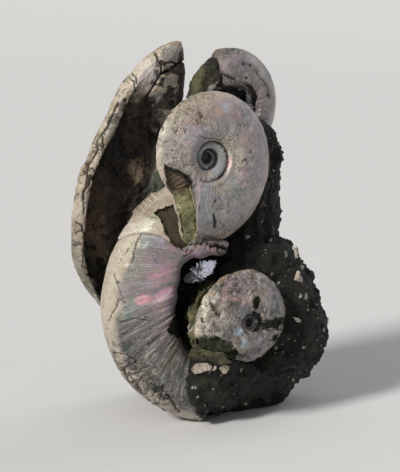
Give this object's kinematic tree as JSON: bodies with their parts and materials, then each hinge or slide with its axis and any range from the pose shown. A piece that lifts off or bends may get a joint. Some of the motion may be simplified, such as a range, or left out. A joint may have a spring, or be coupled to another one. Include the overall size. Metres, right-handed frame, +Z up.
{
  "type": "fossil ammonite plate",
  "caption": "Upright lump of siltstone on a flat sawn foot, holding coiled pearly ammonite shells, an open whorl of a large one, a hollow broken whorl and small white crystals.",
  "frame": {"origin": "middle of the bounding box's base, on the sawn foot", "axes": "+Z up, the display side looks along -Y, +X to its right as seen from the front"},
  "size_m": [0.1678, 0.1119, 0.2421],
  "materials": {
    "rock_matrix": "grainy dull grey-green siltstone",
    "large_ammonite": "pearly shell, cream with pink and green sheen",
    "upper_ammonite": "pearly shell, pale with pink and blue-green sheen",
    "upper_mouth_fill": "olive grey hardened mud",
    "small_ammonite": "pearly shell, cream with pink and blue sheen",
    "small_mouth_fill": "dark olive hardened mud",
    "back_ammonite": "pearly shell, pinkish white",
    "back_mouth_fill": "dark green and brown hardened mud",
    "whorl_fragment": "cracked cream shell with a brown rough inside",
    "crystal_crust": "white glassy crystals",
    "shell_chip_a": "broken pearly shell",
    "shell_chip_b": "broken pearly shell",
    "shell_chip_c": "broken pearly shell",
    "shell_chip_d": "broken pearly shell",
    "shell_chip_e": "broken pearly shell",
    "shell_chip_f": "broken pearly shell",
    "shell_chip_g": "broken pearly shell"
  },
  "bodies": {
    "root": {"rock_matrix": "rock_matrix", "large_ammonite": "large_ammonite", "upper_ammonite": "upper_ammonite", "upper_mouth_fill": "upper_mouth_fill", "small_ammonite": "small_ammonite", "small_mouth_fill": "small_mouth_fill", "back_ammonite": "back_ammonite", "back_mouth_fill": "back_mouth_fill", "whorl_fragment": "whorl_fragment", "crystal_crust": "crystal_crust", "shell_chip_a": "shell_chip_a", "shell_chip_b": "shell_chip_b", "shell_chip_c": "shell_chip_c", "shell_chip_d": "shell_chip_d", "shell_chip_e": "shell_chip_e", "shell_chip_f": "shell_chip_f", "shell_chip_g": "shell_chip_g"}
  },
  "joints": []
}
